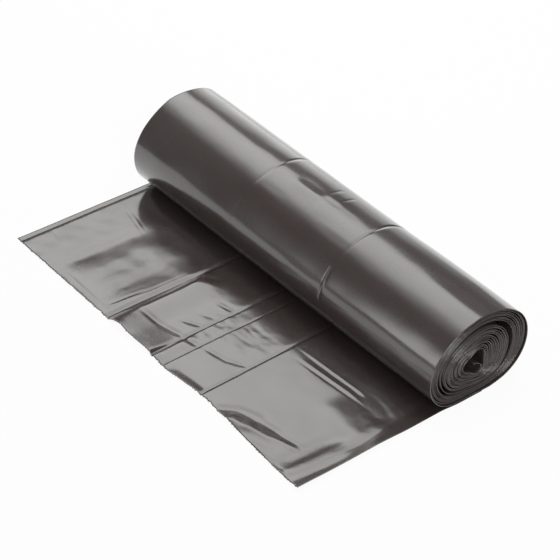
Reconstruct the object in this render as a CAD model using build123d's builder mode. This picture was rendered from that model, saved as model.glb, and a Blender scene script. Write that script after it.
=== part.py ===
"""A coreless roll of polythene bin bags, lying down with the loose end of its web spread on the floor.

One continuous folded web, so one solid. It lies flat, passes under the roll, rises on the far side and winds
inwards, turn within turn, round a hollow middle. The two ends of the roll are pressed into slightly different
ovals, so the web is lofted from one end's section to the other's.

Frame: +X along the roll towards its near end, the loose end towards -Y, +Z up, origin under the middle of the
whole shape. Lengths in millimetres.
"""

from build123d import *
from math import cos, radians, sin
import os

# The roll.
roll_width = 300.0
oval_half_width = 38.8
oval_half_height = 31.1
near_lean = 6.6  # degrees that each end's oval is turned up from level
far_lean = 27.0
near_axis_height = 26.3
far_axis_height = 29.6
press_sharpness = 10.0  # how tightly the oval bends into its pressed flat
core_radius = 8.5
core_kink = 0.16  # share of the radius by which the hollow middle is three-cornered
core_kink_angle = 60.0
core_offset_y = -2.0  # hollow middle from the roll's axis
core_offset_z = -2.8

# The winding.
turns = 6
loose_turn = 2.5  # turn after which the winding has slipped open
loose_width = 1.0  # turns over which it opens
loose_slack = 1.0  # the slip's width, in turns
web_fill = 0.75  # share of the space from one turn to the next that the web takes
arcs_per_turn = 8

# The loose end.
far_reach = 131.0  # roll's axis to the free edge, at each end of the roll
near_reach = 135.0
touch_run = 4.0  # how far past the axis the web stays on the floor
lift_turn = 0.1  # share of a turn by which the web has joined the oval
flap_thickness = 0.5
ply_thickness = 0.15
seat_run = 14.0  # how far short of the axis the folded plies end, under the roll
outer_panel_plies = 2
middle_panel_plies = 1
hem_width = 9.0
hem_plies = 2
hem_end = 40.0  # from the axis, where the hem flattens out
edge_clearance = 5.0

# Fold lines across the loose end: distance from the far end, at the free edge and under the roll.
fold_lines = {
    "far_edge": (0.0, 0.0),
    "first": (104.5, 105.5),
    "second": (151.2, 151.0),
    "third": (164.5, 163.8),
    "fourth": (200.5, 197.5),
    "near_edge": (roll_width, roll_width),
}
# Plies that each panel between two fold lines has on top of the web.
panels = [
    ("far_edge", "first", outer_panel_plies),
    ("first", "second", middle_panel_plies),
    ("third", "fourth", middle_panel_plies),
    ("fourth", "near_edge", outer_panel_plies),
]
# How far the free edge stands back from a straight one at each fold line.
edge_setback = {"first": 0.8, "second": 2.0, "third": 1.6, "fourth": 4.8}


def smooth_step(value):
    held = min(max(value, 0.0), 1.0)
    return held * held * (3.0 - 2.0 * held)


def outside_point(angle, lean, axis_height):
    """Point on the roll's outside: an oval, pressed flat where it lies on the floor."""
    turned = angle - radians(lean)
    across = oval_half_height * cos(turned)
    along = oval_half_width * sin(turned)
    oval = oval_half_width * oval_half_height / (across * across + along * along) ** 0.5
    down = max(-sin(angle), 0.0)
    pressed = oval**-press_sharpness + (down / axis_height) ** press_sharpness
    radius = pressed ** (-1.0 / press_sharpness)
    return Vector(radius * cos(angle), axis_height + radius * sin(angle))


def core_point(angle, axis_height):
    """Point on the hollow middle, a rounded three-cornered opening."""
    radius = core_radius * (1.0 + core_kink * cos(3.0 * (angle - radians(core_kink_angle))))
    centre = Vector(core_offset_y, axis_height + core_offset_z)
    return centre + Vector(radius * cos(angle), radius * sin(angle))


def winding_depth(turn):
    """Share of the way from the outside to the hollow middle, after so many turns."""
    slipped = loose_slack * smooth_step((turn - loose_turn) / loose_width)
    return (turn + slipped) / (turns + loose_slack)


def web_point(turn, lean, axis_height, extra_depth):
    """Point on one face of the wound web, so many turns after it passes under the axis."""
    angle = radians(360.0 * turn - 90.0)
    depth = winding_depth(turn) + extra_depth
    outer = outside_point(angle, lean, axis_height)
    inner = core_point(angle, axis_height)
    return outer + (inner - outer) * depth


def wound_face(start, lean, axis_height, extra_depth):
    """One face of the web, as arcs: off the floor, round every turn, to its inner end."""
    shape = (lean, axis_height, extra_depth)
    first = web_point(lift_turn, *shape)
    TangentArc([start, first], tangent=(1, 0))
    arcs = round((turns - lift_turn) * arcs_per_turn)
    marks = [lift_turn + (turns - lift_turn) * half / (2 * arcs) for half in range(2 * arcs + 1)]
    points = [web_point(mark, *shape) for mark in marks]
    for begin, middle, end in zip(points[0::2], points[1::2], points[2::2]):
        ThreePointArc(begin, middle, end)
    return points[-1]


def lengthways(along):
    """Place on the X axis of a distance from the far end."""
    return along - roll_width / 2.0


def free_edge_point(fold_line):
    """Where a fold line meets the free edge."""
    along = fold_lines[fold_line][0]
    straight = far_reach + (near_reach - far_reach) * along / roll_width
    return (lengthways(along), edge_setback.get(fold_line, 0.0) - straight)


def seat_point(fold_line):
    """Where a fold line ends under the roll."""
    return (lengthways(fold_lines[fold_line][1]), -seat_run)


web_depth = web_fill / (turns + loose_slack)
ends = [
    (lengthways(0.0), far_lean, far_axis_height),
    (lengthways(roll_width), near_lean, near_axis_height),
]

with BuildPart() as wound_web:
    # The wound web, lofted between the sections at the roll's two ends.
    for place, lean, axis_height in ends:
        with BuildSketch(Plane.YZ.offset(place)):
            with BuildLine():
                Line((touch_run, flap_thickness), (touch_run, 0.0))
                outer_end = wound_face(Vector(touch_run, 0.0), lean, axis_height, 0.0)
                inner_end = wound_face(Vector(touch_run, flap_thickness), lean, axis_height, web_depth)
                Line(outer_end, inner_end)
            make_face()
    loft(ruled=True)

    # The same web lying flat, from the free edge to where it leaves the floor.
    with BuildSketch(Plane.XY):
        with BuildLine():
            Polyline(
                (lengthways(0.0), -far_reach),
                (lengthways(roll_width), -near_reach),
                (lengthways(roll_width), touch_run),
                (lengthways(0.0), touch_run),
                close=True,
            )
        make_face()
    extrude(amount=flap_thickness)

    # Folded plies on the loose end, thickest in the two outer panels.
    for left, right, plies in panels:
        with BuildSketch(Plane.XY.offset(flap_thickness)):
            with BuildLine():
                Polyline(
                    free_edge_point(left),
                    free_edge_point(right),
                    seat_point(right),
                    seat_point(left),
                    close=True,
                )
            make_face()
        extrude(amount=plies * ply_thickness)

    # The folded hem along the near edge.
    with BuildSketch(Plane.XY.offset(flap_thickness + outer_panel_plies * ply_thickness)):
        with BuildLine():
            Polyline(
                (lengthways(roll_width - hem_width), -near_reach),
                (lengthways(roll_width), -near_reach),
                (lengthways(roll_width), -hem_end),
                (lengthways(roll_width - hem_width), -hem_end),
                close=True,
            )
        make_face()
    extrude(amount=hem_plies * ply_thickness)

    # The torn free edge stands back from a straight one between the corners.
    with BuildSketch(Plane.XY):
        with BuildLine():
            Polyline(
                [free_edge_point(fold_line) for fold_line in fold_lines]
                + [
                    (lengthways(roll_width + edge_clearance), -near_reach - edge_clearance),
                    (lengthways(-edge_clearance), -near_reach - edge_clearance),
                ],
                close=True,
            )
        make_face()
    extrude(amount=edge_clearance, mode=Mode.SUBTRACT)

# The origin goes under the middle of the whole shape.
box = wound_web.part.bounding_box()
film_roll = Pos(-box.center().X, -box.center().Y, -box.min.Z) * wound_web.part
film_roll.label = "film_roll"
os.makedirs("parts", exist_ok=True)
export_step(film_roll, "parts/film_roll.step")
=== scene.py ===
"""The looks of a roll of black polythene bin bags, lying down with the loose end of its web spread out."""

import math
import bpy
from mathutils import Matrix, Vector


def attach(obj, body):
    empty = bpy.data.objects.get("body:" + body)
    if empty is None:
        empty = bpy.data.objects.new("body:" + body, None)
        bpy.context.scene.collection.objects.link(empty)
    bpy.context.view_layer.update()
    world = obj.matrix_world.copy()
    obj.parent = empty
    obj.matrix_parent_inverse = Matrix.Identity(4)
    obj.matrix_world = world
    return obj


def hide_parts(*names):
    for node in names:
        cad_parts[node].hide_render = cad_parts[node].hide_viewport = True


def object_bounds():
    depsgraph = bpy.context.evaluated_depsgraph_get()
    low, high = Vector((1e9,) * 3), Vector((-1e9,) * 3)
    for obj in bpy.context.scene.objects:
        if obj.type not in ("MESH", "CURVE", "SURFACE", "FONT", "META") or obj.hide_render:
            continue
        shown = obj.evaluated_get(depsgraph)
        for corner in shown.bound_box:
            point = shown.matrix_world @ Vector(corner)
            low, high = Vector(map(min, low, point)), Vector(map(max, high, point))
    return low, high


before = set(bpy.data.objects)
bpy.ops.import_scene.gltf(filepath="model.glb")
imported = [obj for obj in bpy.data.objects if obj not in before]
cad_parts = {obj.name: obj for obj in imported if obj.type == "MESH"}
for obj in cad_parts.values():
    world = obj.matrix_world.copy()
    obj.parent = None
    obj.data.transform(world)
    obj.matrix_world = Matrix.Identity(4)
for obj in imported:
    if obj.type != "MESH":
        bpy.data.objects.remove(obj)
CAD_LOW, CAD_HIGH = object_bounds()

from types import SimpleNamespace

import bpy
import numpy as np
from bpy.props import FloatProperty, FloatVectorProperty, IntProperty, PointerProperty

bl_info = {
    "name": "Bin bag roll",
    "version": (1, 0, 0),
    "blender": (4, 5, 0),
    "location": "3D View > Sidebar > Bag Roll",
    "description": "Builds a roll of black polythene bin bags with its loose end, and a plain stage round it",
    "category": "Add Mesh",
}

MM = 0.001
BODY = "root"
NODE = "film_roll"


# ---------------------------------------------------------------- settings


def length(name, description, default):
    """A size in metres that a user can change."""
    return FloatProperty(name=name, description=description, default=default, unit="LENGTH", subtype="DISTANCE")


def share_of(name, description, default):
    """A plain number that a user can change."""
    return FloatProperty(name=name, description=description, default=default)


class RollSettings(bpy.types.PropertyGroup):
    """Sizes of the wound roll."""

    roll_width: length("Roll width", "Length of the roll from end to end", CAD_HIGH.x - CAD_LOW.x)
    half_width: length("Oval half width", "Half the longer width of the roll's oval section", 0.0388)
    half_height: length("Oval half height", "Half the shorter width of the roll's oval section", 0.0311)
    near_height: length("Near axis height", "Height of the roll's axis above the floor at the near end", 0.0263)
    far_height: length("Far axis height", "Height of the roll's axis above the floor at the far end", 0.0296)
    near_lean: FloatProperty(
        name="Near lean", description="Tilt of the near end's oval", default=math.radians(6.6), subtype="ANGLE"
    )
    far_lean: FloatProperty(
        name="Far lean", description="Tilt of the far end's oval", default=math.radians(27.0), subtype="ANGLE"
    )
    core_radius: length("Hollow radius", "Radius of the hollow middle", 0.0082)
    core_y: length("Hollow offset across", "Hollow middle from the roll's axis, across", -0.002)
    core_z: length("Hollow offset up", "Hollow middle from the roll's axis, upwards", -0.0028)
    turns: share_of("Turns", "Turns of film in the roll", 28.3)
    loose_turn: share_of("Loose turn", "Turn after which the winding has slipped open", 9.0)
    loose_slack: share_of("Slack", "How far the slipped winding stands open, in turns", 3.4)
    curl: share_of("Inner curl", "How far the film's inner end falls into the hollow", 0.24)
    film: length("Film package", "Thickness of one turn's folded film", 0.00028)
    slip: length("End slip", "How far the turns slide past each other at the ends", 0.0016)
    seed: IntProperty(name="Seed", description="Seed of the uneven winding", default=7)


class LooseEndSettings(bpy.types.PropertyGroup):
    """Sizes of the loose end of the web."""

    far_reach: length("Far reach", "Roll's axis to the free edge at the far end", 0.131)
    near_reach: length("Near reach", "Roll's axis to the free edge at the near end", 0.135)
    touch_run: length("Touch run", "How far past the axis the web stays on the floor", 0.004)
    web: length("Web thickness", "Thickness of the web without its extra plies", 0.0005)
    ply: length("Ply thickness", "Thickness that each folded ply adds", 0.00015)
    crease: share_of("Crease", "Depth of the creases, as a share of the real ones", 1.0)
    teeth: IntProperty(name="Teeth", description="Film tabs left by the tear line", default=118)
    seed: IntProperty(name="Seed", description="Seed of the film's unevenness", default=21)


class FilmSettings(bpy.types.PropertyGroup):
    """Finish of the black film."""

    dark: FloatVectorProperty(
        name="Film colour", description="Colour of the film", default=(0.048, 0.033, 0.031), subtype="COLOR"
    )
    pale: FloatVectorProperty(
        name="Haze colour",
        description="Colour where the film is hazed or scuffed",
        default=(0.062, 0.050, 0.046),
        subtype="COLOR",
    )
    roughness: share_of("Roughness", "Roughness of the film below its gloss", 0.26)


class StageSettings(bpy.types.PropertyGroup):
    """Floor, lamps and camera."""

    overhead: share_of("Overhead lamp", "Radiance of the large lamp overhead", 1.75)
    side: share_of("Side lamp", "Radiance of the tall lamp behind on the left", 1.25)
    front: share_of("Front lamp", "Radiance of the lamp at the front left", 2.1)
    key: share_of("Key lamp", "Radiance of the lamp at the front right", 3.4)
    world: share_of("World light", "Strength of the dim light from all round", 0.16)
    lens: share_of("Lens", "Focal length of the camera in millimetres", 120.7)


# ---------------------------------------------------------------- numbers as nodes


class Number:
    """A number in a node tree, which adds, multiplies and so on as plain numbers do."""

    def __init__(self, tree, socket):
        self.tree = tree
        self.socket = socket

    @staticmethod
    def made(operation, *values):
        tree = next(value.tree for value in values if isinstance(value, Number))
        node = tree.nodes.new("ShaderNodeMath")
        node.operation = operation
        for index, value in enumerate(values):
            if isinstance(value, Number):
                tree.links.new(value.socket, node.inputs[index])
            else:
                node.inputs[index].default_value = float(value)
        return Number(tree, node.outputs[0])

    def __add__(self, other):
        return Number.made("ADD", self, other)

    def __sub__(self, other):
        return Number.made("SUBTRACT", self, other)

    def __rsub__(self, other):
        return Number.made("SUBTRACT", other, self)

    def __mul__(self, other):
        return Number.made("MULTIPLY", self, other)

    def __rmul__(self, other):
        return Number.made("MULTIPLY", other, self)

    def __truediv__(self, other):
        return Number.made("DIVIDE", self, other)

    def __pow__(self, other):
        return Number.made("POWER", self, other)


class NodeMaths:
    """The functions that the winding rule needs, for numbers in a node tree."""

    sin = staticmethod(lambda value: Number.made("SINE", value))
    cos = staticmethod(lambda value: Number.made("COSINE", value))
    maximum = staticmethod(lambda one, other: Number.made("MAXIMUM", one, other))
    minimum = staticmethod(lambda one, other: Number.made("MINIMUM", one, other))


# ---------------------------------------------------------------- the winding rule

PRESS_SHARPNESS = 10.0
KINK = 0.16
KINK_ANGLE = math.radians(60.0)
TIGHT_TURN = 0.3
GROUP_TURNS = 3.35  # turns that lie close together before a wider gap
GROUPING = 0.30
CURL_RUN = 0.22
WINDING_NAMES = (
    "half_width",
    "half_height",
    "near_height",
    "far_height",
    "near_lean",
    "far_lean",
    "core_radius",
    "core_y",
    "core_z",
    "turns",
    "loose_turn",
    "loose_slack",
    "curl",
)


def eased(kit, value):
    """0 below 0, 1 above 1, and smooth between."""
    held = kit.maximum(kit.minimum(value, 1.0), 0.0)
    return held * held * (3.0 - 2.0 * held)


def wound_place(kit, turn, share, size):
    """Across and up, in metres, of the web so many turns after it passes under the axis.

    share is 0 at the far end.
    """
    angle = turn * math.tau - math.pi / 2.0
    lean = size.far_lean + (size.near_lean - size.far_lean) * share
    height = size.far_height + (size.near_height - size.far_height) * share
    cos, sin = kit.cos(angle), kit.sin(angle)
    across = kit.cos(angle - lean) * size.half_height
    along = kit.sin(angle - lean) * size.half_width
    oval = size.half_width * size.half_height / (across * across + along * along) ** 0.5
    down = kit.maximum(sin * -1.0, 0.0)
    radius = (oval**-PRESS_SHARPNESS + (down / height) ** PRESS_SHARPNESS) ** (-1.0 / PRESS_SHARPNESS)
    core = size.core_radius * (kit.cos((angle - KINK_ANGLE) * 3.0) * KINK + 1.0)
    slipped = eased(kit, (turn - size.loose_turn) / 1.6) * size.loose_slack
    fallen = eased(kit, (turn - size.turns + CURL_RUN) / CURL_RUN) * size.curl
    grouped = kit.sin(turn * (math.tau / GROUP_TURNS)) * eased(kit, turn - 1.0) * GROUPING
    wound = kit.maximum(turn - TIGHT_TURN, 0.0) + slipped + grouped
    depth = wound / (size.turns - TIGHT_TURN + size.loose_slack) + fallen
    outer_y, outer_z = radius * cos, height + radius * sin
    inner_y, inner_z = size.core_y + core * cos, height + size.core_z + core * sin
    return outer_y + (inner_y - outer_y) * depth, outer_z + (inner_z - outer_z) * depth


def axis_y(context):
    """Where the roll's axis stands across the row."""
    return CAD_LOW.y + context.scene.loose_end_settings.near_reach


# ---------------------------------------------------------------- mesh helpers


def new_object(name, mesh):
    made = bpy.data.objects.new(name, mesh)
    bpy.context.scene.collection.objects.link(made)
    return made


def grid_mesh(name, points, uv, flip=False):
    """A mesh from a rows by columns by 3 array of points, with a UV map in metres."""
    rows, columns = points.shape[:2]
    index = np.arange(rows * columns).reshape(rows, columns)
    faces = np.stack([index[:-1, :-1], index[:-1, 1:], index[1:, 1:], index[1:, :-1]], -1).reshape(-1, 4)
    if flip:
        faces = faces[:, ::-1]
    mesh = bpy.data.meshes.new(name)
    mesh.from_pydata(points.reshape(-1, 3).tolist(), [], faces.tolist())
    layer = mesh.uv_layers.new(name="UVMap")
    layer.data.foreach_set("uv", uv.reshape(-1, 2)[faces.ravel()].astype(np.float32).ravel())
    mesh.polygons.foreach_set("use_smooth", [True] * len(mesh.polygons))
    mesh.update()
    return mesh


def ripples(seed, along, across, along_length, across_length, waves=22):
    """Smooth seeded unevenness of about unit height over two coordinates in metres."""
    chance = np.random.default_rng(seed)
    total = np.zeros(np.broadcast(along, across).shape)
    for _ in range(waves):
        turn = chance.uniform(0.0, math.tau)
        size = chance.uniform(0.55, 1.7)
        phase = chance.uniform(0.0, math.tau)
        total += np.sin(
            math.tau * size * (along * math.cos(turn) / along_length + across * math.sin(turn) / across_length)
            + phase
        )
    return total * (2.0 / waves) ** 0.5


def along_line(x, y, start, end):
    """Distance of points from a straight crease, and how far along it they lie, 0 to 1."""
    run_x, run_y = end[0] - start[0], end[1] - start[1]
    along = ((x - start[0]) * run_x + (y - start[1]) * run_y) / (run_x * run_x + run_y * run_y)
    held = np.clip(along, 0.0, 1.0)
    return np.hypot(x - start[0] - held * run_x, y - start[1] - held * run_y), held


def finished(piece, material):
    """Gives a piece its material and ties it to the CAD frame."""
    piece.data.materials.clear()
    piece.data.materials.append(material)
    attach(piece, BODY)
    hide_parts(NODE)


# ---------------------------------------------------------------- the film


def black_film(
    name, settings, roughness, grain, grain_strength, crumple, crumple_strength, gloss=1.0, crinkle=0.0
):
    """Glossy black polythene: a hazed dark body under a sharp gloss, with fine grain and soft crumples.

    crinkle is the strength of the fine crinkles where the piece's own "crinkled" attribute is 1.
    """
    material = bpy.data.materials.new(name)
    material.use_nodes = True
    nodes, links = material.node_tree.nodes, material.node_tree.links
    shader = nodes["Principled BSDF"]
    place = nodes.new("ShaderNodeTexCoord")

    def noise(scale, detail, stretch=(1.0, 1.0, 1.0)):
        mapping = nodes.new("ShaderNodeMapping")
        mapping.inputs["Scale"].default_value = stretch
        texture = nodes.new("ShaderNodeTexNoise")
        texture.inputs["Scale"].default_value = scale
        texture.inputs["Detail"].default_value = detail
        links.new(place.outputs["Object"], mapping.inputs["Vector"])
        links.new(mapping.outputs["Vector"], texture.inputs["Vector"])
        return texture.outputs["Fac"]

    cloud = noise(26.0, 4.0, (0.6, 1.0, 1.0))
    tint = nodes.new("ShaderNodeValToRGB")
    tint.color_ramp.elements[0].position = 0.38
    tint.color_ramp.elements[0].color = (*settings.dark, 1.0)
    tint.color_ramp.elements[1].position = 0.78
    tint.color_ramp.elements[1].color = (*settings.pale, 1.0)
    links.new(cloud, tint.inputs["Fac"])
    links.new(tint.outputs["Color"], shader.inputs["Base Color"])

    rough = nodes.new("ShaderNodeMapRange")
    rough.inputs["From Min"].default_value = 0.3
    rough.inputs["From Max"].default_value = 0.75
    rough.inputs["To Min"].default_value = roughness * 0.8
    rough.inputs["To Max"].default_value = roughness * 1.25
    links.new(noise(48.0, 5.0, (0.5, 1.0, 1.0)), rough.inputs["Value"])
    links.new(rough.outputs["Result"], shader.inputs["Roughness"])

    soft = nodes.new("ShaderNodeBump")
    soft.inputs["Strength"].default_value = crumple_strength
    soft.inputs["Distance"].default_value = 0.0006
    links.new(noise(crumple, 2.0, (0.45, 1.0, 1.0)), soft.inputs["Height"])
    if crinkle:
        where = nodes.new("ShaderNodeAttribute")
        where.attribute_name = "crinkled"
        amount = nodes.new("ShaderNodeMath")
        amount.operation = "MULTIPLY"
        amount.inputs[1].default_value = crinkle
        links.new(where.outputs["Fac"], amount.inputs[0])
        creased = nodes.new("ShaderNodeBump")
        creased.inputs["Distance"].default_value = 0.00012
        links.new(noise(1900.0, 2.0), creased.inputs["Height"])
        links.new(amount.outputs[0], creased.inputs["Strength"])
        links.new(soft.outputs["Normal"], creased.inputs["Normal"])
        soft = creased
    fine = nodes.new("ShaderNodeBump")
    fine.inputs["Strength"].default_value = grain_strength
    fine.inputs["Distance"].default_value = 0.00012
    links.new(noise(grain, 3.0), fine.inputs["Height"])
    links.new(soft.outputs["Normal"], fine.inputs["Normal"])
    links.new(fine.outputs["Normal"], shader.inputs["Normal"])
    links.new(soft.outputs["Normal"], shader.inputs["Coat Normal"])
    shader.inputs["IOR"].default_value = 1.6
    shader.inputs["Coat Weight"].default_value = gloss
    shader.inputs["Coat Roughness"].default_value = 0.13
    shader.inputs["Coat IOR"].default_value = 1.6
    return material


# ---------------------------------------------------------------- pieces

OUTER_START, OUTER_END = -0.018, 1.02
OUTER_ROWS, OUTER_COLUMNS = 200, 150
ROUND = 0.225  # length of the film in one outer turn
ROLL_FOLDS = (  # distance from the far end, depth, width before and after, in mm, and the angle where it fades
    (107.2, 0.26, 0.8, 1.5, 128.0),
    (197.7, 0.42, 0.7, 1.3, 185.0),
)
SHORT_FOLDS = ((151.6, 55.0, 78.0), (163.0, 55.0, 77.0))  # distance from the far end, first and last angle
ROLL_SWELLS = (  # distance from the far end in mm, angle, half width in mm, half width in degrees, tilt
    (139.0, 84.5, 12.0, 8.0, -0.13),
    (158.5, 81.0, 8.0, 5.0, 0.06),
    (176.0, 81.0, 9.0, 4.0, 0.03),
    (175.5, 167.5, 15.0, 4.0, -0.07),
    (230.0, 88.0, 40.0, 12.0, -0.02),
    (285.0, 88.0, 30.0, 12.0, -0.055),
    (185.0, 116.0, 16.0, 5.0, 0.03),
    (170.0, 92.0, 12.0, 4.0, 0.03),
    (122.0, 118.0, 12.0, 5.0, -0.03),
)
STEP_MARKS = (-2.5, -1.6, -1.1, -0.7, -0.35, 0.0, 0.35, 0.7, 1.1, 1.6, 2.4, 3.4)  # columns beside a fold, in mm


def swell(along, across, half_along, half_across, tilt, flat=2):
    """A soft facet: its middle leans by tilt across its length, and it is level again at its rim.

    A higher flat keeps more of the facet at its full lean.
    """
    window = np.exp(-((along / half_along) ** 4) - (across / half_across) ** flat)
    return -tilt * across * window


def groove(gap, before, after):
    """A crease's section, one deep at gap 0, with its own width on each side."""
    return np.where(gap < 0.0, np.exp(-((gap / before) ** 2)), np.exp(-((gap / after) ** 2)))


def outer_marks(x, phi):
    """How far the outer turn stands in or out of the smooth roll: folds, dents and soft waves, in metres."""
    arc = phi / 360.0 * ROUND
    lift = 0.16 * MM * ripples(31, x, arc, 0.17, 0.06)
    lift += 0.022 * MM * ripples(32, x, arc, 0.04, 0.02)
    for fold, deep, before, after, last in ROLL_FOLDS:
        held = 0.15 + 0.85 * eased(np, (last - phi) / 15.0)
        lift -= deep * MM * groove(x - fold * MM, before * MM, after * MM) * held
    for fold, low, high in SHORT_FOLDS:
        held = eased(np, (phi - low) / 5.0) * eased(np, (high - phi) / 5.0)
        lift -= 0.09 * MM * groove(x - fold * MM, 0.9 * MM, 1.3 * MM) * held
    for place, angle, half_x, half_angle, tilt in ROLL_SWELLS:
        width = half_angle / 360.0 * ROUND
        lift += swell(x - place * MM, (phi - angle) / 360.0 * ROUND, half_x * MM, width, tilt)
    return lift


def outer_columns(width):
    """Distances from the far end of the outer turn's columns, crowded beside its folds and at its ends."""
    even = np.linspace(0.0, width, OUTER_COLUMNS)
    folds = [fold[0] for fold in ROLL_FOLDS + SHORT_FOLDS]
    close = [(fold + mark) * MM for fold in folds for mark in STEP_MARKS]
    ends = [0.0006, 0.0013, width - 0.0013, width - 0.0006]
    joined = np.unique(np.round(np.concatenate([even, close, ends]), 5))
    return joined[np.concatenate([[True], np.diff(joined) > 0.00025])]


class BAGROLL_OT_outer_turn(bpy.types.Operator):
    """Make the roll's outer turn, with its fold lines, dents and soft waves"""

    bl_idname = "bagroll.outer_turn"
    bl_label = "Outer turn"

    def execute(self, context):
        size = context.scene.roll_settings
        turn = np.linspace(OUTER_START, OUTER_END, OUTER_ROWS)[:, None]
        x = outer_columns(size.roll_width)[None, :]
        share = x / size.roll_width
        y, z = wound_place(np, turn, share, size)
        y_next, z_next = wound_place(np, turn + 1e-3, share, size)
        run_y, run_z = y_next - y, z_next - z
        run = np.hypot(run_y, run_z)
        out_y, out_z = run_z / run, -run_y / run
        phi = turn * 360.0 - 90.0
        held = eased(np, (turn - 0.06) / 0.1) * eased(np, (0.97 - turn) / 0.1)
        lift = outer_marks(x, phi) * held
        y, z = y + out_y * lift, z + out_z * lift
        z = np.maximum(z, 0.0001)
        slide = np.abs(size.slip * 0.25 * ripples(41, 0.0, turn, 1.0, 0.31))
        spread = 2.0 * share - 1.0
        x = x - size.roll_width / 2.0 - slide * np.sign(spread) * np.abs(spread) ** 40
        points = np.stack(np.broadcast_arrays(x, y + axis_y(context), z), -1)
        uv = np.stack(np.broadcast_arrays(x, turn * ROUND), -1)
        piece = new_object("outer_turn", grid_mesh("outer_turn", points, uv, flip=True))
        wall = piece.modifiers.new("film", "SOLIDIFY")
        wall.thickness = size.film
        wall.offset = -1.0
        film = context.scene.film_settings
        finished(piece, black_film("roll_film", film, film.roughness, 1500.0, 0.05, 70.0, 0.12))
        return {"FINISHED"}


def winding_tree(size, material):
    """Geometry Nodes: the wound web inside the outer turn, from the winding rule."""
    tree = bpy.data.node_groups.new("wound_web", "GeometryNodeTree")
    nodes, links = tree.nodes, tree.links
    face = tree.interface
    face.new_socket("Geometry", in_out="INPUT", socket_type="NodeSocketGeometry")
    face.new_socket("Geometry", in_out="OUTPUT", socket_type="NodeSocketGeometry")
    names = ("roll_width", "slip", "axis_y", "start_turn") + WINDING_NAMES
    for name in names:
        face.new_socket(name, in_out="INPUT", socket_type="NodeSocketFloat")
    entry = nodes.new("NodeGroupInput")
    leave = nodes.new("NodeGroupOutput")
    given = SimpleNamespace(**{name: Number(tree, entry.outputs[name]) for name in names})

    grid = nodes.new("GeometryNodeMeshGrid")
    grid.inputs["Size X"].default_value = 1.0
    grid.inputs["Size Y"].default_value = 1.0
    grid.inputs["Vertices X"].default_value = 17
    grid.inputs["Vertices Y"].default_value = 2320
    spot = nodes.new("GeometryNodeInputPosition")
    parts = nodes.new("ShaderNodeSeparateXYZ")
    links.new(spot.outputs[0], parts.inputs[0])
    even = Number(tree, parts.outputs["X"]) * 2.0
    down = Number(tree, parts.outputs["Y"]) + 0.5
    turn = given.start_turn + (given.turns - given.start_turn) * down
    spread = NodeMaths.sin(even * (math.pi / 2.0))
    share = spread * 0.5 + 0.5
    y, z = wound_place(NodeMaths, turn, share, given)

    def uneven(scale, offset, *lengths):
        """Seeded unevenness, -0.5 to 0.5, over turn, angle and the roll's length."""
        joined = nodes.new("ShaderNodeCombineXYZ")
        for index, value in enumerate(lengths):
            if isinstance(value, Number):
                links.new(value.socket, joined.inputs[index])
        texture = nodes.new("ShaderNodeTexNoise")
        texture.noise_dimensions = "4D"
        texture.inputs["W"].default_value = size.seed + offset
        texture.inputs["Scale"].default_value = scale
        texture.inputs["Detail"].default_value = 2.0
        links.new(joined.outputs[0], texture.inputs["Vector"])
        return Number(tree, texture.outputs["Fac"]) - 0.5

    angle = turn * math.tau
    round_y, round_z = NodeMaths.cos(angle), NodeMaths.sin(angle)
    wobble = uneven(1.0, 0.0, round_y, round_z, turn * 0.9) * 0.0011
    slide = (uneven(1.0, 9.0, round_y * 0.6, round_z * 0.6, turn * 1.7) + 0.5) * given.slip * 2.2
    edge = NodeMaths.maximum(spread * spread, 0.0) ** 14.0
    x = spread * (given.roll_width * 0.5 - slide * edge)
    out_y, out_z = NodeMaths.sin(angle), NodeMaths.cos(angle) * -1.0
    joined = nodes.new("ShaderNodeCombineXYZ")
    for index, value in enumerate((x, y + given.axis_y + out_y * wobble, z + out_z * wobble)):
        links.new(value.socket, joined.inputs[index])
    place = nodes.new("GeometryNodeSetPosition")
    links.new(grid.outputs["Mesh"], place.inputs["Geometry"])
    links.new(joined.outputs[0], place.inputs["Position"])
    smooth = nodes.new("GeometryNodeSetShadeSmooth")
    links.new(place.outputs[0], smooth.inputs["Geometry"])
    turned = nodes.new("GeometryNodeFlipFaces")
    links.new(smooth.outputs[0], turned.inputs["Mesh"])
    real = nodes.new("GeometryNodeRealizeInstances")
    links.new(turned.outputs[0], real.inputs["Geometry"])
    dress = nodes.new("GeometryNodeSetMaterial")
    dress.inputs["Material"].default_value = material
    links.new(real.outputs[0], dress.inputs["Geometry"])
    links.new(dress.outputs[0], leave.inputs[0])
    return tree


def set_inputs(modifier, values):
    """Sets a Geometry Nodes modifier's inputs by socket identifier."""
    for item in modifier.node_group.interface.items_tree:
        if item.item_type == "SOCKET" and item.in_out == "INPUT" and item.name in values:
            modifier[item.identifier] = values[item.name]


def baked(name, carrier):
    """A plain mesh object of what a carrier's modifiers make."""
    bpy.context.view_layer.update()
    seen = carrier.evaluated_get(bpy.context.evaluated_depsgraph_get())
    mesh = bpy.data.meshes.new_from_object(seen)
    mesh.name = name
    bpy.data.objects.remove(carrier)
    return new_object(name, mesh)


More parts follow.
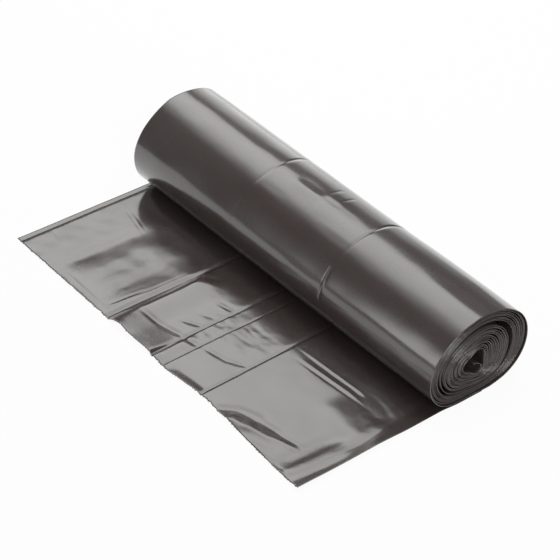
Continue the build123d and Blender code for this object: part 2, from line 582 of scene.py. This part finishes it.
class BAGROLL_OT_inner_turns(bpy.types.Operator):
    """Make the turns wound inside the outer one, loose in the middle and hollow at the centre"""

    bl_idname = "bagroll.inner_turns"
    bl_label = "Inner turns"

    def execute(self, context):
        size = context.scene.roll_settings
        film = context.scene.film_settings
        material = black_film("wound_film", film, film.roughness * 1.9, 900.0, 0.3, 420.0, 0.6, gloss=0.4)
        carrier = new_object("winding_carrier", bpy.data.meshes.new("winding_carrier"))
        winding = carrier.modifiers.new("winding", "NODES")
        winding.node_group = winding_tree(size, material)
        values = {name: float(getattr(size, name)) for name in WINDING_NAMES + ("roll_width", "slip")}
        values.update(axis_y=axis_y(context), start_turn=OUTER_END - 0.01)
        set_inputs(winding, values)
        wall = carrier.modifiers.new("film", "SOLIDIFY")
        wall.thickness = size.film
        wall.offset = -1.0
        finished(baked("inner_turns", carrier), material)
        return {"FINISHED"}


FOLDS = {  # distance from the far end of each fold line: at the free edge, and under the roll
    "first": (0.1045, 0.1055),
    "second": (0.1512, 0.1510),
    "third": (0.1645, 0.1638),
    "fourth": (0.2005, 0.1975),
}
PLY_STEP = 0.0007  # width over which the height steps at a fold line
OUTER_PLIES, MIDDLE_PLIES = 2, 1
SLACK_LIFT = 0.25  # how far the film stands off the floor, in mm
BROAD_WAVES = (0.07, 0.075, 0.06)  # height in mm, then wavelength along and across in metres
SMALL_WAVES = (0.014, 0.02, 0.018)
EDGE_RIPPLES = (0.06, 0.02, 0.05)
HEM_GROOVE = (0.0034, 0.0008, 0.0017, 0.30)  # place, width before and after, and depth in mm, at the far edge
FIRST_CREST = (2.1, 0.02)  # height in mm of the film's crest beyond the first fold, and the run of its fall
SECOND_CREST = (0.75, 0.0042, 0.009)  # the same beyond the second fold, with the run of its rise too
CRUMPLE_WAVES = ((0.024, 0.02), (0.009, 0.008))  # wavelengths along and across of the crumples, in metres
CRUMPLE_SEED_STEP = 300
FREE_EDGE = (  # distance from the far end, and how far the torn edge stands back from a straight one, in mm
    (0.0, 0.0),
    (103.8, 0.8),
    (151.6, 2.0),
    (171.4, 1.6),
    (205.0, 4.8),
    (300.0, 0.0),
)
CREASES = (  # start and end from the far end and from the axis, half width, depth, all in mm
    ((44, -126.4), (100, -127.2), 1.0, 0.32),
    ((44, -129.0), (100, -129.8), 0.9, 0.26),
    ((137, -66), (150, -64), 1.0, 0.2),
    ((138, -69.5), (150, -66.5), 0.9, 0.2),
    ((136, -97), (150, -90), 1.1, 0.28),
    ((138, -84), (150, -79), 1.6, 0.18),
    ((115, -110.8), (132, -109), 1.9, 0.55),
    ((132, -109), (151, -105), 2.1, 0.6),
    ((152, -106), (163, -103.5), 1.9, 0.65),
    ((167, -79), (181, -77.5), 1.2, 0.2),
    ((168, -101.5), (185, -98.5), 1.7, 0.42),
    ((185, -98.5), (197, -92), 1.5, 0.4),
    ((168, -70), (180, -71), 1.2, 0.25),
    ((240, -133.6), (288, -131.0), 0.8, 0.3),
    ((4, -107), (18, -110), 1.2, 0.1),
)
SWELLS = (  # middle from the far end and from the axis, half length, half width, turn, tilt away from the front
    (53, -92, 29, 12, 90, 0.085),
    (93, -92, 29, 12, 94, 0.095),
    (74, -61, 26, 15, 0, 0.05),
    (66, -84, 12, 8, 20, 0.03),
    (28, -56.8, 15, 1.0, -13, 0.16),
    (30, -60.2, 15, 1.0, -13, 0.16),
    (101, -85, 20, 1.6, 90, 0.1),
    (98, -112, 14, 1.8, 84, 0.12),
    (114, -63, 10, 5.0, 45, 0.12),
    (120, -70, 10, 4, 40, -0.05),
    (144, -68, 8, 3, 10, 0.06),
    (146, -94, 6, 3, 25, 0.07),
    (156, -71, 5, 3.5, 0, 0.06),
    (156, -83, 3.5, 3, 30, 0.09),
    (158, -93, 3, 3, -20, 0.08),
    (159, -120, 5, 8, 0, 0.03),
    (174, -68, 9, 4, 0, 0.07),
    (190, -76, 8, 4, 10, 0.04),
    (241, -55.2, 32, 1.4, 3, -0.34),
    (242, -58.4, 26, 1.5, 3.5, 0.22),
    (242, -61.4, 26, 1.4, 4, -0.30),
    (272, -67, 17, 16, -8, 0.10),
    (283.5, -112, 20, 9, 86, 0.20),
    (224, -127.5, 8, 6.5, 45, 0.19),
    (235, -122.0, 9, 7.5, 18, 0.19),
    (249, -118.6, 11, 5.5, 12, 0.18),
    (266, -114.8, 11, 3.2, 13, 0.17),
    (252, -126, 16, 4, 12, -0.04),
)
CRUMPLES = (  # middle from the far end and from the axis, half length, half width, lean, height, crinkles
    (74, -87, 29, 35, 0.026, 0.05, 1.0),
    (272, -69, 15, 17, 0.02, 0.04, 0.7),
    (170, -74, 26, 16, 0.01, 0.09, 0.6),
    (130, -121, 20, 12, 0.0, 0.02, 0.7),
    (283, -112, 9, 20, 0.0, 0.02, 0.9),
    (238, -121, 20, 9, 0.0, 0.0, 0.5),
    (120, -64, 14, 8, 0.0, 0.03, 0.5),
)
EDGE_LIFTS = (  # span from the far end, where the film starts to lift, and its slope to the free edge
    (108, 151, -109.5, 0.12),
    (166, 200, -123.5, 0.17),
    (44, 100, -126.5, 0.05),
)
EDGE_WAVES = (  # across the near edge: distance back from it in mm, and height in mm
    (0.0, 2.3),
    (4.0, 1.45),
    (8.0, 0.55),
    (11.0, 0.02),
    (14.0, 0.32),
    (17.0, 0.42),
    (21.0, 0.05),
    (26.0, 0.0),
)
LOOSE_ROWS = 132
PANEL_COLUMNS = (94, 46, 20, 32, 88)


def fold_x(name, back):
    """Where a fold line lies, a share of the way from the free edge to its end under the roll."""
    edge, seat = FOLDS[name]
    return edge + (seat - edge) * back


def loose_columns(width):
    """Columns across the loose end as fractions between fold lines, crowded beside each fold."""
    bounds = [(0.0, 0.0), *FOLDS.values(), (width, width)]
    edge, seat = [], []
    for (left, right), count in zip(zip(bounds[:-1], bounds[1:]), PANEL_COLUMNS):
        even = np.linspace(0.0, 1.0, count, endpoint=False)
        crowded = even - 0.12 * np.sin(even * math.tau) / math.tau * 4.0
        edge.append(left[0] + (right[0] - left[0]) * crowded)
        seat.append(left[1] + (right[1] - left[1]) * crowded)
    return np.append(np.concatenate(edge), width), np.append(np.concatenate(seat), width)


def loose_height(x, y, back, size, width):
    """Height of the loose end's upper face over the floor, in metres. y is from the axis."""
    chosen = size.crease
    lift = np.full(x.shape, size.web)
    first, second, third, fourth = (fold_x(name, back) for name in FOLDS)
    panels = (
        (-1.0, first, OUTER_PLIES),
        (first, second, MIDDLE_PLIES),
        (third, fourth, MIDDLE_PLIES),
        (fourth, 9.0, OUTER_PLIES),
    )
    for left, right, plies in panels:
        inside = eased(np, (x - left) / PLY_STEP + 0.5) * eased(np, (right - x) / PLY_STEP + 0.5)
        lift = lift + plies * size.ply * inside
    lift = lift + SLACK_LIFT * MM * chosen
    for step, (high, along, across) in enumerate((BROAD_WAVES, SMALL_WAVES)):
        lift = lift + high * MM * chosen * ripples(size.seed + step, x, y, along, across)
    wide = 0.0013 + 0.0034 * eased(np, (-y - 0.060) / 0.035) * (1.0 - 0.25 * eased(np, (-y - 0.115) / 0.015))
    for fold, before, after, deep in (
        (first, 0.0016, wide, 0.62),
        (second, 0.0015, 0.0012, 0.42),
        (third, 0.0008, 0.0009, 0.22),
        (fourth, 0.0012, 0.0012, 0.42),
    ):
        lift = lift - deep * MM * chosen * groove(x - fold, before, after)
    rise = 0.0022 + 0.0066 * eased(np, (-y - 0.052) / 0.02)
    high, fall = FIRST_CREST
    lift = lift + high * MM * chosen * crest(x - first, rise, fall) * eased(np, (-y - 0.048) / 0.015)
    high, rise, fall = SECOND_CREST
    lift = lift + high * MM * chosen * crest(x - second, rise, fall) * eased(np, (-y - 0.096) / 0.012)
    place, before, after, deep = HEM_GROOVE
    lift = lift - deep * MM * chosen * groove(x - place, before, after)
    from_edge, raised = np.array(EDGE_WAVES).T * MM
    fade = 0.35 + 0.65 * eased(np, (-y - 0.05) / 0.03)
    lift = lift + np.interp(width - x + 0.0035 * bulge(y), from_edge, raised) * chosen * fade
    for start, end, half, deep in CREASES:
        away, along = along_line(x, y, (start[0] * MM, start[1] * MM), (end[0] * MM, end[1] * MM))
        fade = 0.35 + 0.65 * np.sin(math.pi * np.clip(along, 0.03, 0.97))
        lift = lift - deep * MM * chosen * fade * np.exp(-((away / (half * MM)) ** 2))
    for place, reach, half_long, half_wide, turn, tilt in SWELLS:
        cos, sin = math.cos(math.radians(turn)), math.sin(math.radians(turn))
        from_x, from_y = x - place * MM, y - reach * MM
        along, across = from_x * cos + from_y * sin, from_y * cos - from_x * sin
        lift = lift + swell(along, across, half_long * MM, half_wide * MM, tilt * chosen, flat=4)
    coarse, fine = CRUMPLE_WAVES
    for place, reach, half_x, half_y, lean, high, _ in CRUMPLES:
        rough = ripples(size.seed + place, x, y, *coarse)
        rough = rough + 0.3 * ripples(size.seed + place + CRUMPLE_SEED_STEP, x, y, *fine)
        window = patch_share(x, y, place, reach, half_x, half_y)
        lift = lift + (high * MM * rough - lean * (y - reach * MM)) * window * chosen
    for left, right, begins, slope in EDGE_LIFTS:
        window = eased(np, (x - left * MM) / 0.012) * eased(np, (right * MM - x) / 0.002 + 0.5)
        run = np.maximum(begins * MM - y - 0.05 * (right * MM - x), 0.0)
        lift = lift + slope * run * run / (run + 0.002) * window * chosen
    high, along, across = EDGE_RIPPLES
    edge = eased(np, (-y - 0.122) / 0.01)
    return lift + high * MM * chosen * edge * ripples(size.seed + 3, x, y, along, across)


def crest(gap, rise, fall):
    """The section of a soft ridge beyond a fold line, one high where its rise ends."""
    return eased(np, gap / rise) * (1.0 - eased(np, (gap - rise) / fall))


def patch_share(x, y, place, reach, half_x, half_y):
    """A soft-edged patch of the loose end, 1 inside and 0 outside. Its place and sizes are in mm."""
    return np.exp(-(((x - place * MM) / (half_x * MM)) ** 4) - ((y - reach * MM) / (half_y * MM)) ** 4)


def crinkle_share(x, y):
    """How far the loose end is finely crinkled, 0 to 1. y is from the axis."""
    share = np.zeros(x.shape)
    for place, reach, half_x, half_y, _, _, amount in CRUMPLES:
        share = np.maximum(share, amount * patch_share(x, y, place, reach, half_x, half_y))
    return share


def edge_place(x, size, width):
    """Where the torn free edge lies, from the axis, at distances from the far end."""
    reach = size.far_reach + (size.near_reach - size.far_reach) * x / width
    places, back_from = np.array(FREE_EDGE).T * MM
    ragged = 0.25 * MM * ripples(size.seed + 5, x, 0.0, 0.006, 1.0)
    return np.interp(x, places, back_from) - reach + np.abs(ragged)


def bulge(y):
    """How far the near edge's crease bows in, 0 to 1, along the loose end."""
    return np.sin(math.pi * np.clip((-y - 0.05) / 0.085, 0.0, 1.0))


class BAGROLL_OT_loose_end(bpy.types.Operator):
    """Make the loose end of the web, with its folded plies, creases and torn free edge"""

    bl_idname = "bagroll.loose_end"
    bl_label = "Loose end"

    def execute(self, context):
        size = context.scene.loose_end_settings
        width = context.scene.roll_settings.roll_width
        edge_x, seat_x = loose_columns(width)
        back = np.linspace(0.0, 1.0, LOOSE_ROWS)[:, None] ** 1.05
        x = edge_x[None, :] + (seat_x - edge_x)[None, :] * back
        start = edge_place(edge_x, size, width)
        y = start[None, :] + (size.touch_run - start[None, :]) * back
        z = loose_height(x, y, back, size, width)
        under = eased(np, (y + 0.030) / 0.018)
        z = z * (1.0 - under) + (size.web + 0.1 * MM) * under
        z = np.maximum(z, 0.25 * MM)
        points = np.stack([x - width / 2.0, y + axis_y(context), z], -1)
        uv = np.stack([x, y], -1)
        piece = new_object("loose_end", grid_mesh("loose_end", points, uv))
        wall = piece.modifiers.new("film", "SOLIDIFY")
        wall.thickness = 0.0002
        wall.offset = -1.0
        film = context.scene.film_settings
        crinkled = piece.data.attributes.new("crinkled", "FLOAT", "POINT")
        crinkled.data.foreach_set("value", crinkle_share(x, y).astype(np.float32).ravel())
        film_look = black_film("loose_film", film, film.roughness * 0.9, 1500.0, 0.05, 55.0, 0.10, crinkle=0.8)
        finished(piece, film_look)
        return {"FINISHED"}


def teeth_tree(material, seed):
    """Geometry Nodes: little film tabs along the torn edge."""
    tree = bpy.data.node_groups.new("tear_teeth", "GeometryNodeTree")
    nodes, links = tree.nodes, tree.links
    face = tree.interface
    face.new_socket("Geometry", in_out="INPUT", socket_type="NodeSocketGeometry")
    face.new_socket("Geometry", in_out="OUTPUT", socket_type="NodeSocketGeometry")
    for name, kind in (
        ("count", "NodeSocketInt"),
        ("tab_width", "NodeSocketFloat"),
        ("tab_length", "NodeSocketFloat"),
        ("tab_thickness", "NodeSocketFloat"),
    ):
        face.new_socket(name, in_out="INPUT", socket_type=kind)
    entry = nodes.new("NodeGroupInput")
    leave = nodes.new("NodeGroupOutput")
    curve = nodes.new("GeometryNodeMeshToCurve")
    links.new(entry.outputs["Geometry"], curve.inputs["Mesh"])
    spaced = nodes.new("GeometryNodeCurveToPoints")
    links.new(curve.outputs[0], spaced.inputs["Curve"])
    links.new(entry.outputs["count"], spaced.inputs["Count"])
    tab = nodes.new("GeometryNodeMeshCube")
    tab.inputs["Vertices X"].default_value = 3
    joined = nodes.new("ShaderNodeCombineXYZ")
    for index, name in enumerate(("tab_width", "tab_length", "tab_thickness")):
        links.new(entry.outputs[name], joined.inputs[index])
    links.new(joined.outputs[0], tab.inputs["Size"])
    sizes = nodes.new("FunctionNodeRandomValue")
    sizes.data_type = "FLOAT_VECTOR"
    sizes.inputs["Min"].default_value = (0.5, 0.4, 0.9)
    sizes.inputs["Max"].default_value = (1.5, 1.4, 1.1)
    sizes.inputs["Seed"].default_value = seed
    placed = nodes.new("GeometryNodeInstanceOnPoints")
    links.new(spaced.outputs["Points"], placed.inputs["Points"])
    links.new(tab.outputs["Mesh"], placed.inputs["Instance"])
    links.new(sizes.outputs[0], placed.inputs["Scale"])
    real = nodes.new("GeometryNodeRealizeInstances")
    links.new(placed.outputs[0], real.inputs["Geometry"])
    dress = nodes.new("GeometryNodeSetMaterial")
    dress.inputs["Material"].default_value = material
    links.new(real.outputs[0], dress.inputs["Geometry"])
    links.new(dress.outputs[0], leave.inputs[0])
    return tree


class BAGROLL_OT_tear_teeth(bpy.types.Operator):
    """Make the small film tabs that the tear line left along the free edge"""

    bl_idname = "bagroll.tear_teeth"
    bl_label = "Tear teeth"

    def execute(self, context):
        size = context.scene.loose_end_settings
        width = context.scene.roll_settings.roll_width
        x = loose_columns(width)[0][None, :]
        x = x[:, (x[0] > 0.002) & (x[0] < width - 0.002)]
        y = edge_place(x, size, width)
        z = np.maximum(loose_height(x, y, np.zeros(x.shape), size, width) - 0.2 * MM, 0.25 * MM)
        points = np.stack([x - width / 2.0, y + axis_y(context) + 0.2 * MM, z], -1)[0].tolist()
        mesh = bpy.data.meshes.new("tear_line")
        mesh.from_pydata(points, [(i, i + 1) for i in range(len(points) - 1)], [])
        film = context.scene.film_settings
        material = black_film("torn_film", film, film.roughness, 1500.0, 0.05, 55.0, 0.10)
        carrier = new_object("tear_line", mesh)
        line = carrier.modifiers.new("teeth", "NODES")
        line.node_group = teeth_tree(material, size.seed)
        tab = {"tab_width": 0.0013, "tab_length": 0.0009, "tab_thickness": 0.00025}
        set_inputs(line, {"count": size.teeth, **tab})
        finished(baked("tear_teeth", carrier), material)
        return {"FINISHED"}


# ---------------------------------------------------------------- stage

CAMERA_PLACE = (0.742708, -0.610614, 0.718676)
CAMERA_TURN = (math.radians(90.0 - 36.97), 0.0, math.radians(51.98))
LAMP_RADIANCE = 4.0  # lamp power per square metre at a level of one
LAMP_COLOUR = (0.985, 1.0, 0.985)


def area_lamp(name, centre, target, width, height, radiance, fades=()):
    """A soft rectangular lamp of a given radiance, facing a target. fades: axis, and level at stops across it."""
    data = bpy.data.lights.new(name, "AREA")
    data.shape = "RECTANGLE"
    data.size, data.size_y = width, height
    data.energy = radiance * LAMP_RADIANCE * width * height
    data.color = LAMP_COLOUR
    lamp = bpy.data.objects.new(name, data)
    bpy.context.scene.collection.objects.link(lamp)
    lamp.location = centre
    away = np.array(centre, float) - np.array(target, float)
    flat = math.hypot(away[0], away[1])
    lamp.rotation_euler = (math.atan2(flat, away[2]), 0.0, math.atan2(away[0], -away[1]) if flat > 1e-6 else 0.0)
    lamp.visible_camera = False
    if fades:
        data.use_nodes = True
        nodes, links = data.node_tree.nodes, data.node_tree.links
        place = nodes.new("ShaderNodeNewGeometry")
        parts = nodes.new("ShaderNodeSeparateXYZ")
        links.new(place.outputs["Parametric"], parts.inputs[0])
        level = None
        for axis, stops in fades:
            ramp = nodes.new("ShaderNodeFloatCurve")
            curve = ramp.mapping.curves[0]
            curve.points[0].location = stops[0]
            curve.points[1].location = stops[-1]
            for stop in stops[1:-1]:
                curve.points.new(*stop)
            ramp.mapping.update()
            links.new(parts.outputs[axis], ramp.inputs["Value"])
            if level is None:
                level = ramp.outputs[0]
            else:
                product = nodes.new("ShaderNodeMath")
                product.operation = "MULTIPLY"
                links.new(level, product.inputs[0])
                links.new(ramp.outputs[0], product.inputs[1])
                level = product.outputs[0]
        links.new(level, nodes["Emission"].inputs["Strength"])
    return lamp


def floor_material():
    """Plain white floor that shows white, and keeps a soft shadow."""
    material = bpy.data.materials.new("pale_floor")
    material.use_nodes = True
    nodes, links = material.node_tree.nodes, material.node_tree.links
    nodes.clear()
    output = nodes.new("ShaderNodeOutputMaterial")
    matt = nodes.new("ShaderNodeBsdfDiffuse")
    matt.inputs["Color"].default_value = (0.9, 0.9, 0.9, 1.0)
    white = nodes.new("ShaderNodeEmission")
    white.inputs["Color"].default_value = (1.0, 1.0, 1.0, 1.0)
    rays = nodes.new("ShaderNodeLightPath")
    seen = nodes.new("ShaderNodeMath")
    seen.operation = "MAXIMUM"
    links.new(rays.outputs["Is Camera Ray"], seen.inputs[0])
    links.new(rays.outputs["Is Glossy Ray"], seen.inputs[1])
    part = nodes.new("ShaderNodeMath")
    part.operation = "MULTIPLY"
    part.inputs[1].default_value = 0.94
    links.new(seen.outputs[0], part.inputs[0])
    mixed = nodes.new("ShaderNodeMixShader")
    links.new(part.outputs[0], mixed.inputs["Fac"])
    links.new(matt.outputs[0], mixed.inputs[1])
    links.new(white.outputs[0], mixed.inputs[2])
    links.new(mixed.outputs[0], output.inputs["Surface"])
    return material


def stage_world(strength):
    """White where the camera looks past the floor, and dim all round."""
    world = bpy.data.worlds.new("plain_world")
    world.use_nodes = True
    nodes, links = world.node_tree.nodes, world.node_tree.links
    back = nodes["Background"]
    rays = nodes.new("ShaderNodeLightPath")
    level = nodes.new("ShaderNodeMapRange")
    level.inputs["To Min"].default_value = strength
    level.inputs["To Max"].default_value = 1.0
    links.new(rays.outputs["Is Camera Ray"], level.inputs["Value"])
    back.inputs["Color"].default_value = (1.0, 1.0, 1.0, 1.0)
    links.new(level.outputs["Result"], back.inputs["Strength"])
    bpy.context.scene.world = world


class BAGROLL_OT_stage(bpy.types.Operator):
    """Make the floor, the soft lamps, the world and the camera"""

    bl_idname = "bagroll.stage"
    bl_label = "Stage"

    def execute(self, context):
        size = context.scene.stage_settings
        across = axis_y(context)
        half = 6.0
        mesh = bpy.data.meshes.new("floor")
        mesh.from_pydata(
            [(-half, -half, 0.0), (half, -half, 0.0), (half, half, 0.0), (-half, half, 0.0)], [], [(0, 1, 2, 3)]
        )
        mesh.materials.append(floor_material())
        new_object("floor", mesh)
        over = area_lamp(
            "overhead",
            (-0.47, across + 0.20, 0.8),
            (-0.47, across + 0.20, 0.0),
            1.6,
            0.90,
            size.overhead,
            fades=(("Y", ((0.0, 0.0), (0.18, 0.35), (0.42, 1.0), (0.84, 1.0), (1.0, 0.4))),),
        )
        over.rotation_euler.z = math.radians(-4.0)
        area_lamp(
            "left_wall",
            (-1.52, across + 1.98, 0.4),
            (-0.5, across + 2.27, 0.4),
            2.26,
            0.8,
            size.side,
            fades=(
                ("Y", ((0.0, 1.0), (0.35, 1.0), (1.0, 0.25))),
                ("X", ((0.0, 0.05), (0.35, 0.35), (0.65, 0.8), (1.0, 1.0))),
            ),
        )
        area_lamp(
            "front_left",
            (-0.9, across - 1.5, 0.8),
            (-0.9, across, 0.8),
            0.75,
            1.1,
            size.front,
            fades=(("X", ((0.0, 0.0), (0.2, 0.15), (0.45, 0.9), (1.0, 1.0))),),
        )
        area_lamp("front_right", (1.5, across - 0.5, 0.9), (0.0, across, 0.0), 0.9, 0.9, size.key)
        stage_world(size.world)
        view = bpy.data.cameras.new("camera")
        view.lens = size.lens
        view.sensor_width = 36.0
        view.clip_start, view.clip_end = 0.01, 50.0
        camera = bpy.data.objects.new("camera", view)
        context.scene.collection.objects.link(camera)
        camera.location = (CAMERA_PLACE[0], CAMERA_PLACE[1] + across, CAMERA_PLACE[2])
        camera.rotation_euler = CAMERA_TURN
        context.scene.camera = camera
        context.scene.view_settings.view_transform = "Standard"
        return {"FINISHED"}


OPERATORS = (
    BAGROLL_OT_stage,
    BAGROLL_OT_outer_turn,
    BAGROLL_OT_inner_turns,
    BAGROLL_OT_tear_teeth,
    BAGROLL_OT_loose_end,
)
SETTINGS = {
    "roll_settings": RollSettings,
    "loose_end_settings": LooseEndSettings,
    "film_settings": FilmSettings,
    "stage_settings": StageSettings,
}


class BAGROLL_PT_panel(bpy.types.Panel):
    """Lists the pieces of the bag roll"""

    bl_idname = "BAGROLL_PT_panel"
    bl_label = "Bag Roll"
    bl_space_type = "VIEW_3D"
    bl_region_type = "UI"
    bl_category = "Bag Roll"

    def draw(self, context):
        for operator in OPERATORS:
            self.layout.operator(operator.bl_idname)


def register():
    for group in SETTINGS.values():
        bpy.utils.register_class(group)
    for operator in OPERATORS:
        bpy.utils.register_class(operator)
    bpy.utils.register_class(BAGROLL_PT_panel)
    for name, group in SETTINGS.items():
        setattr(bpy.types.Scene, name, PointerProperty(type=group))


def unregister():
    for name in SETTINGS:
        delattr(bpy.types.Scene, name)
    bpy.utils.unregister_class(BAGROLL_PT_panel)
    for operator in reversed(OPERATORS):
        bpy.utils.unregister_class(operator)
    for group in reversed(list(SETTINGS.values())):
        bpy.utils.unregister_class(group)


def main():
    register()
    bpy.ops.bagroll.stage()
    bpy.ops.bagroll.outer_turn()
    bpy.ops.bagroll.inner_turns()
    bpy.ops.bagroll.tear_teeth()
    bpy.ops.bagroll.loose_end()


if __name__ == "__main__":
    main()
